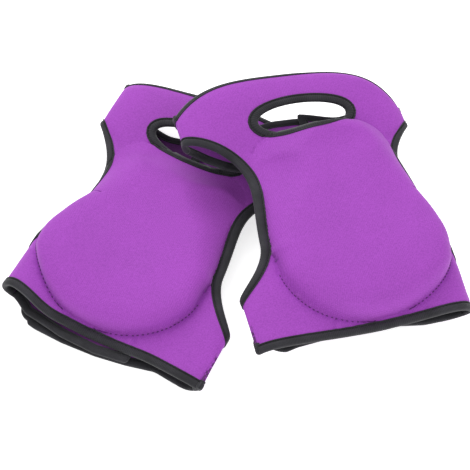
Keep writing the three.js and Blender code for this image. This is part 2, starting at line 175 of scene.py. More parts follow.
def front_height(x, v, pad):
    """Height of the front sheet without the foam, at x = u / half_width."""
    c = np.sqrt(np.maximum(1 - x * x, 0))
    inner, outer = folds(v, pad)
    fold = mix(inner, outer, smooth(-0.6, 1, x))
    hump = mix(HUMP_INNER, HUMP_OUTER, smooth(-0.3, 0.3, x)) * (1 - 0.6 * smooth(60, 130, v))
    crown = mix(CROWN_LOW, CROWN_HIGH, smooth(185, 270, v))
    return fold + (crown - fold) * c + hump * 2.6 * c * x * x


def low_inset(p, drop):
    """Distance inside the foam's oval lower end, p across from its middle, drop below its widest."""
    radius = np.maximum(np.hypot(p / FOAM_HALF_LOW, drop / (FOAM_WIDEST - FOAM_BOTTOM)), 0.2)
    return np.where(radius <= 0.2, 36, np.hypot(p, drop) * (1 / radius - 1))


def high_inset(side, top, radius):
    """Distance inside two edges that meet at a corner of that radius."""
    corner = radius - np.hypot(radius - side, radius - top)
    return np.where((side < radius) & (top < radius), corner, np.minimum(side, top))


def foam_inset(u, v):
    """Distance inside the foam's outline, negative outside it."""
    p = np.abs(u - foam_centre(v))
    above = high_inset(foam_half(v) - p, FOAM_TOP - v, FOAM_CORNER)
    return np.where(v < FOAM_WIDEST, low_inset(p, FOAM_WIDEST - v), above)


def pillow_inset(u, v, pad):
    """Distance inside the cushion seen from outside: sewn below, out to the tapes at the waist."""
    across = u - foam_centre(v)
    p = np.abs(across)
    wide = np.where(across < 0, INNER_WIDER * smooth(72, 118, v), -slim(v, pad))
    high = high_inset(foam_half(v) + wide - p, pad["pillow_top"] - v, PILLOW_CORNER)
    low = low_inset(p + np.where(across > 0, slim(v, pad), 0), FOAM_WIDEST - v)
    inset = mix(low, high, smooth(56, 96, v))
    s = developed(u, v)
    inner = s + cut_edge(-1, v, pad) + SIDE_OUTER - TAPE_WIDTH - 0.5
    outer = cut_edge(1, v, pad) + SIDE_OUTER + OVER_TAPE - s
    return np.minimum(inset, np.minimum(inner, outer))


def bulge(u, v, pad):
    """The sheet over the foam: its height, and how far its shoulder leans out over its foot."""
    inset = pillow_inset(u, v, pad)
    upper = smooth(150, 200, v)
    outer_corner = smooth(30, 75, u - 0.35 * (v - 200))
    inner_corner = 1 - smooth(-45, 22, u + 0.35 * (v - 200))
    corners = 1 - (1 - inner_corner) * (1 - pad["soft_outer"] * outer_corner)
    soft = smooth(105, 195, v) * (1 - (1 - corners) * (1 - pad["soft_top"]))
    foot = mix(2.0, 0.0, smooth(72, 110, v))
    width = mix(SHOULDER_LOW, SHOULDER_HIGH, upper) + SHOULDER_SOFT * soft
    power = mix(2.15, 2.3, upper) - 0.35 * soft
    t = np.clip((inset - foot) / width, 0, 1)
    round_edge = (1 - (1 - t) ** power) ** (1 / power)
    inner_waist = (1 - smooth(-50, 10, u)) * smooth(55, 150, v)
    dome = mix(round_edge, smooth(0, 1, 0.08 + 0.92 * t) * (t > 0), np.maximum(soft, 0.45 * inner_waist))
    crest = CREST * smooth(0, 70, inset)
    outer_waist = smooth(20, 60, u) * smooth(55, 85, v) * (1 - smooth(130, 200, v))
    lean = pad["overhang_low"] * (1 - smooth(80, 120, v)) + 1.5 * smooth(80, 120, v) * (1 - upper)
    lean = mix(lean, OVERHANG_WAIST, outer_waist)
    step = 0.5
    slope_u = pillow_inset(u + step, v, pad) - pillow_inset(u - step, v, pad)
    slope_v = pillow_inset(u, v + step, pad) - pillow_inset(u, v - step, pad)
    size = np.maximum(np.hypot(slope_u, slope_v), 1e-6)
    out = -lean * np.sin(math.pi * t**0.8)
    return (FOAM_THICK - CREST) * dome + crest * (dome > 0), out * slope_u / size, out * slope_v / size


STITCH_OUTSIDE = 0.6  # from the foam's outline to the stitch line
PUCKER = 0.22  # height of the gathers along the stitches


def sewing(u, v):
    """The groove that the pocket's stitches pull into the sheet, with small puckers between them."""
    inset = foam_inset(u, v)
    sewn = 1 - smooth(84, 112, v)
    angle = np.arctan2(u - foam_centre(v), FOAM_WIDEST - v)
    held = 1 - 0.8 * bell(angle - 0.13, 0.2)
    line = bell(inset + STITCH_OUTSIDE, 2.6)
    pucker = np.sin(angle * 46.0) * bell(inset + 4.5, 3.4) * PUCKER
    return sewn * (-1.25 * line * held + pucker * held)


CREASES = [
    # u, v, direction in degrees, length, width, depth
    (-31.0, 14.0, 66.0, 6.0, 2.2, -1.3),
    (-26.5, 14.0, 68.0, 6.0, 2.6, 1.0),
    (-60.0, 16.0, 50.0, 10.0, 4.0, -0.5),
    (62.0, 14.0, 118.0, 14.0, 4.5, -0.5),
    (26.0, 12.0, 95.0, 12.0, 6.0, 0.9),
    (102.0, 206.0, 205.0, 20.0, 5.0, -1.6),
    (-96.0, 34.0, 35.0, 20.0, 7.0, -0.8),
    (104.0, 60.0, 150.0, 20.0, 7.0, -0.8),
]


def creases(u, v):
    total = 0
    for cu, cv, degrees, length, width, depth in CREASES:
        a = math.radians(degrees)
        along = (u - cu) * math.cos(a) + (v - cv) * math.sin(a)
        across = -(u - cu) * math.sin(a) + (v - cv) * math.cos(a)
        total = total + depth * bell(along, length) * bell(across, width)
    return total


def waves(u, v):
    """Slow unevenness of the soft sheet, under half a millimetre."""
    return 0.2 * np.sin(u / 23.0 + 1.3) * np.sin(v / 31.0 + 0.4) + 0.05 * np.sin(u / 11.0 - v / 14.0)


ROLL_RUN = 17.0  # width of the rolled upper edge


def settle(u, v, w, s, pad):
    """The rolled upper edge and the sagging calf edge of the front."""
    arc = half_arc(v)
    x = np.sin((math.pi / 2) * np.clip(s / arc, -1, 1))
    start = top_edge(x, pad) - ROLL_RUN
    front = 1 - smooth(arc - 14, arc + 8, np.abs(s))
    roll = math.radians(pad["roll"])
    tighter = 1 + 0.35 * smooth(0, 0.6, x)
    angle = roll * tighter * np.clip((v - start) / ROLL_RUN, 0, 1.2) * front
    radius = ROLL_RUN / roll
    over = v > start
    safe = np.maximum(angle, 1e-6)
    run = np.maximum(v - start, 0)
    v = np.where(over, start + run * np.sin(safe) / safe, v)
    w = np.where(over, w - radius * front * (1 - np.cos(angle)), w)
    across = mix(pad["sag_inner"], 1, smooth(-110, -40, u)) * mix(1, pad["sag_outer"], smooth(50, 105, u))
    share = (1 - smooth(0, 130, v)) * across
    return v - pad["sag_v"] * share, w - pad["sag_w"] * (1 - smooth(0, 60, v)) * front * share


def sleeve(s, v, with_foam, pad):
    """Points at developed distance s from the centre line: the front, the bend, then flat behind."""
    arc, half = half_arc(v), half_width(v)
    side = np.where(s < 0, -1.0, 1.0)
    x = np.sin((math.pi / 2) * np.clip(s / arc, -1, 1))
    front_u = x * half
    front_w = front_height(x, v, pad)
    front_v = v + 0 * s
    bare_u = front_u
    if with_foam:
        soft = 1 - smooth(0.9, 1.0, np.abs(s) / arc)
        rise, lean_u, lean_v = bulge(front_u, v, pad)
        fine = sewing(front_u, v) + creases(front_u, v) + waves(front_u, v)
        front_w = front_w + rise + fine * soft
        front_u, front_v = front_u + lean_u, front_v + lean_v
    fold = front_height(side, v, pad)
    rise = fold - np.where(side < 0, OUTER_LEVEL, INNER_LEVEL)
    quarter = (math.pi / 2) * np.sqrt((BEND_REACH**2 + rise**2) / 2)
    past = np.maximum(np.abs(s) - arc, 0)
    angle = (math.pi / 2) * np.clip(past / quarter, 0, 1)
    back_u = side * (half - BEND_REACH * (1 - np.cos(angle)) - np.maximum(past - quarter, 0))
    back_w = fold - rise * np.sin(angle)
    bent = past > 0
    w = np.where(bent, back_w, front_w)
    settled_v, settled_w = settle(np.where(bent, back_u, bare_u), v + 0 * s, w, s, pad)
    return np.stack([np.where(bent, back_u, front_u), settled_v + front_v - v, settled_w], -1)


def offset(surface, p, h):
    """Points of surface(p) moved h along its outward normal."""
    step = 0.3
    du, dv = np.array([step, 0.0]), np.array([0.0, step])
    normal = np.cross(surface(p + du) - surface(p - du), surface(p + dv) - surface(p - dv))
    length = np.linalg.norm(normal, axis=-1, keepdims=True)
    normal = normal / np.maximum(length, 1e-9)
    return surface(p) + normal * np.reshape(h, (-1, 1)) if np.ndim(h) else surface(p) + normal * h


def band_edge(v):
    return half_arc(v) + FOLD_RETURN


def cut_edge(side, v, pad):
    """Developed distance of the cut edge at height v: the waist, flared into both bands."""
    waist = np.abs(developed(foam_centre(v) + side * foam_half(v), v)) + WAIST_MARGIN[side]
    waist = waist - (slim(v, pad) if side > 0 else 0)
    end, start, power = HIGH_CUT[side]
    low = np.clip(1 - (v - BAND_LOW) / FLARE_LOW, 0, 1)
    high = np.clip((v - start) / (end - start), 0, 1)
    flare = np.minimum(2 - np.sqrt(1 - low * low) - (1 - high**power) ** (1 / power), 1)
    return mix(waist, band_edge(v), flare)


# ---- straps ----


def upper_low(u, _):
    inner = mix(200, HIGH_CUT[-1][0] - 4, smooth(62, 122, -u))
    outer = mix(192, HIGH_CUT[1][0], smooth(62, 122, u))
    return np.where(u < 0, inner, outer)


def upper_high(u, _):
    return 246 + 12 * smooth(50, 115, np.abs(u)) + 10 * (1 - smooth(10, 60, np.abs(u)))


STRAPS = {
    "lower": {
        "mid": 25, "hinge": -8, "low": lambda u, drop: -drop, "high": lambda u, drop: BAND_LOW - 0.7 * drop,
        "ends": (0, BAND_LOW + 6), "tip": 92, "inner_tip": -34, "patch": (28, 80),
    },
    "upper": {
        "mid": 235, "hinge": 30, "low": upper_low, "high": upper_high,
        "ends": (0, 0), "tip": 124, "inner_tip": 13, "patch": (34, 84),
    },
}
OUTER_TIP_CORNER, INNER_TIP_CORNER = 16.0, 3.0
SEAM_RUN = 20  # a strap reaches its own width this far behind its seam


class Strap:
    """One strap: domain coordinates are d, the distance from its seam, and v."""

    def __init__(self, pad, kind, side):
        self.kind, self.side, self.pad = kind, side, pad
        self.facts = STRAPS[kind]
        table = np.array(pad["outer_drop" if side < 0 else "inner_drop"], float)
        self.drop = lambda u: np.interp(u, table[:, 0], table[:, 1])
        if side < 0:
            self.tip_u, self.corner, self.tape_half = self.facts["tip"], OUTER_TIP_CORNER, 2.15
        else:
            self.tip_u, self.corner, self.tape_half = self.facts["inner_tip"], INNER_TIP_CORNER, 2.3
        self.ends = self.facts["ends"]
        if kind == "upper":
            self.ends = (HIGH_CUT[side][0] - SIDE_OUTER, float(top_edge(float(side), pad)))
        elif side < 0:
            self.ends = (pad["fold_rise"], self.ends[1])
        self.start = band_edge(self.facts["mid"])
        self.length = self.distance(self.tip_u)

    def distance(self, u):
        """Distance from the seam at which the flat part passes u."""
        inner, outer = folds(self.facts["mid"], self.pad)
        rise = inner - OUTER_LEVEL if self.side < 0 else outer - INNER_LEVEL
        quarter = (math.pi / 2) * math.sqrt((BEND_REACH**2 + rise**2) / 2)
        half = half_width(self.facts["mid"])
        return half_arc(self.facts["mid"]) + quarter + half - BEND_REACH - self.side * u - self.start

    def surface(self, p):
        s = self.side * (self.start + p[..., 0])
        point = sleeve(s, np.full_like(s, self.facts["mid"]), False, self.pad)
        sag = self.pad["sag_v"] if self.kind == "lower" else 0
        share = self.pad["sag_inner" if self.side < 0 else "sag_outer"]
        point[..., 1] = p[..., 1] - sag * share * (1 - smooth(0, SEAM_RUN, p[..., 0]))
        return point

    def edges(self, d):
        """Lower and upper outer edge at distance d, drawn out of the panel's own edges."""
        d = np.asarray(d, float)
        u = self.surface(np.stack([d, 0 * d], -1))[..., 0]
        t = smooth(0, SEAM_RUN, d)
        drop = self.drop(u)
        low = mix(self.ends[0], self.facts["low"](u, drop), t)
        high = mix(self.ends[1], self.facts["high"](u, drop), t)
        return low, high

    def route(self, inward=0.0):
        """The free edge as a polyline of d, v: along the lower edge, round the tip, back above."""
        end = self.length - inward
        corner = max(self.corner - inward, 0.6)
        run = np.linspace(0, end - corner, 60)
        low, high = self.edges(run)
        low, high = low + inward, high - inward
        turn = np.linspace(0, math.pi / 2, 12)[1:-1]
        side_low, side_high = self.edges(np.array([end]))
        centre, low_v, high_v = end - corner, side_low[0] + inward + corner, side_high[0] - inward - corner
        across, along = corner * np.sin(turn), corner * np.cos(turn)
        first = np.stack([centre + across, low_v - along], -1)
        second = np.stack([centre + along, high_v + across], -1)
        tip = np.stack([np.full(12, end), np.linspace(low_v, high_v, 12)], -1)
        return np.concatenate([np.stack([run, low], -1), first, tip, second, np.stack([run, high], -1)[::-1]])


# ---- cut sheets ----


def resample(path, step, closed=False):
    points = np.vstack([path, path[:1]]) if closed else np.asarray(path, float)
    gaps = np.linalg.norm(np.diff(points, axis=0), axis=1)
    keep = np.concatenate([[True], gaps > 1e-6])
    points = points[keep]
    run = np.concatenate([[0], np.cumsum(np.linalg.norm(np.diff(points, axis=0), axis=1))])
    count = max(int(round(run[-1] / step)), 3)
    at = np.linspace(0, run[-1], count + 1)
    out = np.stack([np.interp(at, run, points[:, k]) for k in range(points.shape[1])], -1)
    return out[:-1] if closed else out


def inside(points, loop):
    """Whether each point is inside the closed polyline."""
    x, y = points[:, 0], points[:, 1]
    result = np.zeros(len(points), bool)
    x0, y0 = loop[-1]
    for x1, y1 in loop:
        crosses = (y0 > y) != (y1 > y)
        if y1 != y0:
            result ^= crosses & (x < x0 + (x1 - x0) * (y - y0) / (y1 - y0))
        x0, y0 = x1, y1
    return result


def clearance(points, loop):
    """Distance from each point to the nearest of the loop's vertices."""
    best = np.full(len(points), 1e9)
    for q in loop:
        best = np.minimum(best, (points[:, 0] - q[0]) ** 2 + (points[:, 1] - q[1]) ** 2)
    return np.sqrt(best)


def hex_grid(low, high, step):
    rows = int((high[1] - low[1]) / (step * 0.866)) + 1
    cols = int((high[0] - low[0]) / step) + 1
    r, c = np.meshgrid(np.arange(rows), np.arange(cols), indexing="ij")
    x = low[0] + (c + 0.5 * (r % 2)) * step
    y = low[1] + r * step * 0.866
    return np.stack([x.ravel(), y.ravel()], -1)


def fill(loop, holes=(), step=3.0, fine=None, fine_step=1.5):
    """A flat triangle mesh inside loop and outside the holes: its points, triangles and rim edges."""
    loops = [loop, *holes]
    low, high = loop.min(0), loop.max(0)
    grid = hex_grid(low, high, step)
    if fine is not None:
        dense = hex_grid(low, high, fine_step)
        grid = np.concatenate([grid[~fine(grid)], dense[fine(dense)]])
    ok = inside(grid, loop)
    for hole in holes:
        ok &= ~inside(grid, hole)
    grid = grid[ok]
    spacing = np.linalg.norm(loop[1] - loop[0])
    near = np.ones(len(grid), bool)
    for each in loops:
        near &= clearance(grid, each) > 0.7 * spacing
    grid = grid[near]
    points, edges = [], []
    for each in loops:
        n = len(points)
        points.extend(map(tuple, each))
        edges.extend((n + i, n + (i + 1) % len(each)) for i in range(len(each)))
    points.extend(map(tuple, grid))
    made = delaunay_2d_cdt(points, edges, [], 0, 1e-5)
    verts = np.array([tuple(v) for v in made[0]])
    tris = np.array([f for f in made[2] if len(f) == 3])
    middle = verts[tris].mean(1)
    keep = inside(middle, loop)
    for hole in holes:
        keep &= ~inside(middle, hole)
    tris = tris[keep]
    a, b, c = verts[tris[:, 0]], verts[tris[:, 1]], verts[tris[:, 2]]
    area = (b[:, 0] - a[:, 0]) * (c[:, 1] - a[:, 1]) - (b[:, 1] - a[:, 1]) * (c[:, 0] - a[:, 0])
    tris[area < 0] = tris[area < 0][:, ::-1]
    tris = tris[np.abs(area) > 1e-7]
    used, tris = np.unique(tris, return_inverse=True)
    tris = tris.reshape(-1, 3)
    verts = verts[used]
    directed = dict.fromkeys((t[i], t[(i + 1) % 3]) for t in tris for i in range(3))
    rim = [e for e in directed if (e[1], e[0]) not in directed]
    return verts, tris, rim, 0.5 * np.abs(area).sum()


# ---- meshes in the row frame ----

MATERIALS = {}


class Pad:
    """Carries local points to the row frame and makes objects that ride on the pad's bodies."""

    def __init__(self, name):
        place = PADS[name]
        self.name, self.facts = name, place
        pitch, roll, yaw = (math.radians(a) for a in place["turn"])
        z, x, y = (Matrix.Rotation(a, 3, axis) for a, axis in zip((yaw, pitch, roll), "ZXY"))
        self.turn = np.array(z @ x @ y)
        self.at = np.array(place["at"], float)
        self.sign = -1.0 if place["mirror"] else 1.0

    def world(self, points):
        local = np.asarray(points, float) * np.array([self.sign, 1.0, 1.0])
        return (local @ self.turn.T + self.at) * MM

    def surface(self, p):
        return sleeve(p[..., 0], p[..., 1], True, self.facts)

    def mesh(self, name, points, faces, material, slot, uv=None):
        """A mesh object from local points in millimetres; faces turn over on the mirrored pad."""
        data = bpy.data.meshes.new(f"{self.name}_{name}")
        faces = [tuple(int(i) for i in f) for f in faces]
        if self.sign < 0:
            faces = [f[::-1] for f in faces]
        data.from_pydata([tuple(p) for p in self.world(points)], [], faces)
        if uv is not None:
            layer = data.uv_layers.new(name="cloth")
            index = np.empty(len(data.loops), int)
            data.loops.foreach_get("vertex_index", index)
            layer.data.foreach_set("uv", (np.asarray(uv, float)[index] * MM).astype(np.float32).ravel())
        data.update()
        data.polygons.foreach_set("use_smooth", [True] * len(data.polygons))
        data.materials.append(MATERIALS[material])
        obj = bpy.data.objects.new(f"{self.name}_{name}", data)
        bpy.context.scene.collection.objects.link(obj)
        return obj


def skins(tris, rim, n):
    """Faces of a closed sheet: the upper skin, the lower one after n points, and the rim between them."""
    faces = [tuple(t) for t in tris] + [tuple(n + t[::-1]) for t in tris]
    return faces + [(b, a, n + a, n + b) for a, b in rim]


def thick_sheet(flat, surface, half):
    """Both faces and the rim of a sheet of thickness 2 * half, as points, faces and flat positions."""
    verts, tris, rim, _ = flat
    points = np.concatenate([offset(surface, verts, half), offset(surface, verts, -half)])
    return points, skins(tris, rim, len(verts)), np.concatenate([verts, verts])


def paint_inside_shade(obj, flat):
    """The leg side of a sheet made by thick_sheet gets a darker copy of the same purple jersey: painted
    shade, since the cloth is the same purple on both faces.
    """
    count = len(flat[1])
    obj.data.materials.append(MATERIALS["neoprene_inside"])
    for face in obj.data.polygons[count:2 * count]:
        face.material_index = 1


def outward(path, closed=False):
    """Unit tangents and right-hand normals of a flat polyline."""
    if closed:
        tangent = np.roll(path, -1, 0) - np.roll(path, 1, 0)
    else:
        tangent = np.gradient(path, axis=0)
    tangent = tangent / np.maximum(np.linalg.norm(tangent, axis=1, keepdims=True), 1e-9)
    normal = np.stack([tangent[:, 1], -tangent[:, 0]], -1)
    return tangent, normal


def tape_section(width, half, sheet):
    """The closed U section of an edge tape: reach (outwards) and height, anticlockwise."""
    top = [
        (-width, sheet + 0.02), (-width + 0.2, mix(sheet, half, 0.7)), (-width + 0.8, mix(sheet, half, 0.9)),
        (-width + 1.3, mix(sheet, half, 0.3)), (-width + 1.8, mix(sheet, half, 0.06)),
        (-width + 2.3, mix(sheet, half, 0.4)), (-width + 3.1, half * 0.96), (-width * 0.5, half),
        (-2.2, half * 0.97), (-0.9, half * 0.74), (-0.2, half * 0.38),
    ]
    outer = top + [(0.0, 0.0)] + [(r, -h) for r, h in top[::-1]]
    inner = [(-width, -sheet + 0.25), (-1.5, -sheet + 0.25), (-1.5, sheet - 0.25), (-width, sheet - 0.25)]
    return np.array(outer + inner)


def sweep(path, surface, section, closed=False):
    """A tape along a flat path; the section's reach runs along the path's right-hand normal."""
    _, normal = outward(path, closed)
    k, n = len(section), len(path)
    p = path[:, None, :] + normal[:, None, :] * section[None, :, :1]
    points = offset(surface, p.reshape(-1, 2), np.tile(section[:, 1], n))
    faces = []
    for i in range(n if closed else n - 1):
        j = (i + 1) % n
        for a in range(k):
            b = (a + 1) % k
            faces.append((i * k + a, j * k + a, j * k + b, i * k + b))
    if not closed:
        faces.append(tuple(range(k)))
        faces.append(tuple((n - 1) * k + a for a in range(k))[::-1])
    run = np.concatenate([[0], np.cumsum(np.linalg.norm(np.diff(path, axis=0), axis=1))])
    uv = np.stack([np.repeat(run, k), np.tile(np.linspace(0, 24, k), n)], -1)
    return points, faces, uv


def unit(a):
    return a / np.linalg.norm(a, axis=-1, keepdims=True)


CAPSULE_SIDES = 6
CAPSULE_RINGS = ((-1.0, 0.0), (-0.82, 0.62), (-0.4, 1.0), (0.4, 1.0), (0.82, 0.62), (1.0, 0.0))


def capsules(centre, along, across, up, length, radius):
    """Short round stitches: one capsule for each centre."""
    points, faces = [], []
    angles = np.arange(CAPSULE_SIDES) * (2 * math.pi / CAPSULE_SIDES)
    template = []
    for x, r in CAPSULE_RINGS[1:-1]:
        for a in angles:
            template.append((x * length / 2, r * radius * math.cos(a), r * radius * math.sin(a)))
    ends = [(x * length / 2, 0, -radius * 0.5) for x in (-1, 1)]
    template = np.array([ends[0], *template, ends[1]])
    rings = len(CAPSULE_RINGS) - 2
    k = len(template)
    one = []
    for a in range(CAPSULE_SIDES):
        b = (a + 1) % CAPSULE_SIDES
        one.append((0, 1 + b, 1 + a))
        for r in range(rings - 1):
            i, j = 1 + r * CAPSULE_SIDES, 1 + (r + 1) * CAPSULE_SIDES
            one.append((i + a, i + b, j + b, j + a))
        last = 1 + (rings - 1) * CAPSULE_SIDES
        one.append((last + a, last + b, k - 1))
    for c, t, n, w in zip(centre, along, across, up):
        base = len(points)
        local = template[:, :1] * t + template[:, 1:2] * n + template[:, 2:] * w + c
        points.extend(local)
        faces.extend(tuple(base + i for i in f) for f in one)
    return np.array(points), faces


def stitch_row(path, surface, height, pitch=3.1, length=2.1, radius=0.32, closed=False, slant=0.0):
    """Stitches along a flat path at a height above the surface."""
    spots = resample(path, pitch, closed)
    tangent, normal = outward(spots, closed)
    if slant:
        sign = np.where(np.arange(len(spots)) % 2, 1.0, -1.0)[:, None]
        tangent = unit(tangent + normal * sign * slant)
    here = offset(surface, spots, height)
    ahead = offset(surface, spots + tangent * 0.5, height)
    back = offset(surface, spots - tangent * 0.5, height)
    along = unit(ahead - back)
    up = offset(surface, spots, height + 1.0) - here
    across = np.cross(up, along)
    return capsules(here, along, across, up, length, radius)


def joined(parts):
    """Several (points, faces) as one."""
    points, faces, base = [], [], 0
    for p, f in parts:
        points.append(p)
        faces.extend(tuple(base + i for i in face) for face in f)
        base += len(p)
    return np.concatenate(points), faces


# ---- materials ----


def srgb(r, g, b):
    def linear(c):
        c = c / 255
        return c / 12.92 if c <= 0.04045 else ((c + 0.055) / 1.055) ** 2.4

    return (linear(r), linear(g), linear(b), 1.0)


class Nodes:
    """A material's node tree, with short calls."""

    def __init__(self, name):
        self.material = bpy.data.materials.new(name)
        self.material.use_nodes = True
        self.tree = self.material.node_tree
        self.tree.nodes.clear()
        output = self.add("ShaderNodeOutputMaterial")
        self.shader = self.add("ShaderNodeBsdfPrincipled")
        self.link(self.shader, "BSDF", output, "Surface")
        self.space = self.add("ShaderNodeTexCoord")
        MATERIALS[name] = self.material

    def add(self, kind, inputs=None, **settings):
        node = self.tree.nodes.new(kind)
        for key, value in settings.items():
            setattr(node, key, value)
        for key, value in (inputs or {}).items():
            if isinstance(value, tuple) and len(value) == 2 and hasattr(value[0], "outputs"):
                self.tree.links.new(value[0].outputs[value[1]], node.inputs[key])
            else:
                node.inputs[key].default_value = value
        return node

    def noise(self, scale, detail=2.0, roughness=0.5):
        inputs = {"Vector": (self.space, "Object"), "Scale": scale, "Detail": detail, "Roughness": roughness}
        return self.add("ShaderNodeTexNoise", inputs)

    def bands(self, vector, scale, distortion, detail, direction):
        inputs = {"Vector": vector, "Scale": scale, "Distortion": distortion, "Detail": detail}
        return self.add("ShaderNodeTexWave", inputs, wave_type="BANDS", bands_direction=direction)

    def bump(self, height, strength, distance):
        return self.add("ShaderNodeBump", {"Height": height, "Strength": strength, "Distance": distance})

    def spread(self, value, low, high, start=0.0, end=1.0):
        """The value's range from low to high, spread from start to end."""
        return self.add("ShaderNodeMapRange", {"Value": value, 1: low, 2: high, 3: start, 4: end})

    def link(self, a, out, b, into):
        self.tree.links.new(a.outputs[out], b.inputs[into])

    def finish(self, values, colour=None, bump=None, roughness=None):
        for key, value in values.items():
            self.shader.inputs[key].default_value = value
        for key, source in {"Base Color": colour, "Normal": bump, "Roughness": roughness}.items():
            if source is not None:
                self.link(*source, self.shader, key)


def two_tone(n, factor, dark, light):
    return n.add("ShaderNodeMix", {0: factor, 6: dark, 7: light}, data_type="RGBA")


def jersey(name, dark, light, sheen_tint):
    """Neoprene faced with fine knitted jersey: rows of tiny loops, slow colour variation, soft sheen."""
    n = Nodes(name)
    place = n.add("ShaderNodeUVMap", uv_map="cloth")
    ribs = n.bands((place, "UV"), 260.0, 2.5, 2.0, "X")
    rows = n.bands((place, "UV"), 330.0, 2.5, 2.0, "Y")
    loops = n.add("ShaderNodeMath", {0: (ribs, "Fac"), 1: (rows, "Fac")}, operation="MULTIPLY")
    fuzz = n.noise(760.0, 3.0, 0.7)
    slow = n.noise(28.0, 3.0)
    grain = n.add("ShaderNodeMath", {0: (loops, 0), 1: 0.25, 2: (fuzz, "Fac")}, operation="MULTIPLY_ADD")
    tone = n.add("ShaderNodeMath", {0: (slow, "Fac"), 1: 0.2, 2: (grain, 0)}, operation="MULTIPLY_ADD")
    colour = two_tone(n, (n.spread((tone, 0), 0.34, 0.98), 0), dark, light)
    bump = n.bump((grain, 0), 0.25, 0.0003)
    rough = n.spread((slow, "Fac"), 0.3, 0.7, 0.72, 0.82)
    n.finish(
        {"Sheen Weight": 0.12, "Sheen Roughness": 0.4, "Sheen Tint": sheen_tint, "Specular IOR Level": 0.28},
        colour=(colour, 2), bump=(bump, 0), roughness=(rough, 0),
    )


def ribbed_tape():
    """Black knitted edge tape: fine ribs across it, the rib tops painted lighter and the grooves darker as
    painted highlight and shade, in slow uneven patches.
    """
    n = Nodes("edge_tape")
    place = n.add("ShaderNodeUVMap", uv_map="cloth")
    ribs = n.bands((place, "UV"), 240.0, 0.8, 2.0, "X")
    fuzz = n.noise(1500.0, 3.0)
    slow = n.noise(45.0, 3.0)
    mixed = n.add("ShaderNodeMath", {0: (ribs, "Fac"), 1: 0.5, 2: (fuzz, "Fac")}, operation="MULTIPLY_ADD")
    tone = n.add("ShaderNodeMath", {0: (mixed, 0), 1: (slow, "Fac")}, operation="MULTIPLY")
    # rib tops painted light and grooves dark: painted highlight and painted shade
    colour = two_tone(n, (n.spread((tone, 0), 0.2, 0.65), 0), srgb(24, 24, 28), srgb(52, 51, 57))
    bump = n.bump((mixed, 0), 0.4, 0.0004)
    values = {"Roughness": 0.7, "Sheen Weight": 0.12, "Sheen Roughness": 0.5, "Specular IOR Level": 0.3}
    n.finish(values, colour=(colour, 2), bump=(bump, 0))


def thread(name, dark, light):
    """Twisted sewing thread."""
    n = Nodes(name)
    twist = n.bands((n.space, "Object"), 900.0, 1.0, 2.0, "DIAGONAL")
    colour = two_tone(n, (twist, "Fac"), dark, light)
    bump = n.bump((twist, "Fac"), 0.5, 0.0002)
    n.finish({"Roughness": 0.6, "Specular IOR Level": 0.3}, colour=(colour, 2), bump=(bump, 0))


def cellular(name, dark, light, scale, roughness, depth):
    """Foam: round cells at the given scale."""
    n = Nodes(name)
    cells = n.add("ShaderNodeTexVoronoi", {"Vector": (n.space, "Object"), "Scale": scale})
    slow = n.noise(60.0, 4.0)
    tone = n.add("ShaderNodeMath", {0: (cells, "Distance"), 1: (slow, "Fac")}, operation="MULTIPLY")
    colour = two_tone(n, (n.spread((tone, 0), 0.05, 0.45), 0), dark, light)
    bump = n.bump((cells, "Distance"), 0.5, depth)
    n.finish({"Roughness": roughness, "Specular IOR Level": 0.25}, colour=(colour, 2), bump=(bump, 0))


def nap(name, dark, light, scale):
    """Hook or loop pile."""
    n = Nodes(name)
    pile = n.noise(scale, 5.0, 0.7)
    colour = two_tone(n, (n.spread((pile, "Fac"), 0.35, 0.7), 0), dark, light)
    bump = n.bump((pile, "Fac"), 0.8, 0.0006)
    values = {"Roughness": 0.85, "Sheen Weight": 0.2, "Specular IOR Level": 0.2}
    n.finish(values, colour=(colour, 2), bump=(bump, 0))


jersey("neoprene", srgb(134, 54, 156), srgb(172, 80, 196), (0.95, 0.75, 1.0, 1.0))
# a darker copy of the neoprene jersey for the leg side of the sheets: painted shade
jersey("neoprene_inside", srgb(74, 30, 84), srgb(104, 46, 118), (0.95, 0.75, 1.0, 1.0))
jersey("lining", srgb(20, 20, 24), srgb(44, 43, 49), (1.0, 1.0, 1.0, 1.0))
ribbed_tape()
thread("thread", srgb(70, 22, 84), srgb(104, 40, 120))
thread("tape_thread", srgb(12, 12, 14), srgb(34, 34, 38))
cellular("eva_foam", srgb(44, 44, 48), srgb(70, 70, 75), 900.0, 0.85, 0.0003)
cellular("comfort_foam", srgb(196, 188, 160), srgb(226, 219, 196), 700.0, 0.95, 0.0006)
nap("hook", srgb(16, 16, 18), srgb(48, 48, 52), 900.0)
nap("loop", srgb(22, 22, 25), srgb(60, 59, 64), 700.0)


# ---- camera, floor and light ----

CAMERA_ELEVATION = 55.3
camera_data = bpy.data.cameras.new("camera")
camera_data.lens = 105.6
camera_data.sensor_width = 36
camera = bpy.data.objects.new("camera", camera_data)
camera.location = (-0.0025, -0.7918, 1.1537)
camera.rotation_euler = Euler((math.radians(90 - CAMERA_ELEVATION), 0, 0))
bpy.context.scene.collection.objects.link(camera)
bpy.context.scene.camera = camera
bpy.context.scene.view_settings.view_transform = "Standard"


def make_floor():
    n = Nodes("floor")
    slow = n.noise(1.2)
    colour = two_tone(n, (slow, "Fac"), (0.9, 0.9, 0.905, 1), (0.94, 0.94, 0.94, 1))
    glow = {"Emission Color": (1, 1, 1, 1), "Emission Strength": 0.7}
    n.finish({"Roughness": 0.9, "Specular IOR Level": 0.1, **glow}, colour=(colour, 2))
    data = bpy.data.meshes.new("floor")
    size = 6.0
    corners = [(-size, -size, -0.0015), (size, -size, -0.0015), (size, size, -0.0015), (-size, size, -0.0015)]
    data.from_pydata(corners, [], [(0, 1, 2, 3)])
    data.materials.append(MATERIALS["floor"])
    floor = bpy.data.objects.new("floor", data)
    bpy.context.scene.collection.objects.link(floor)


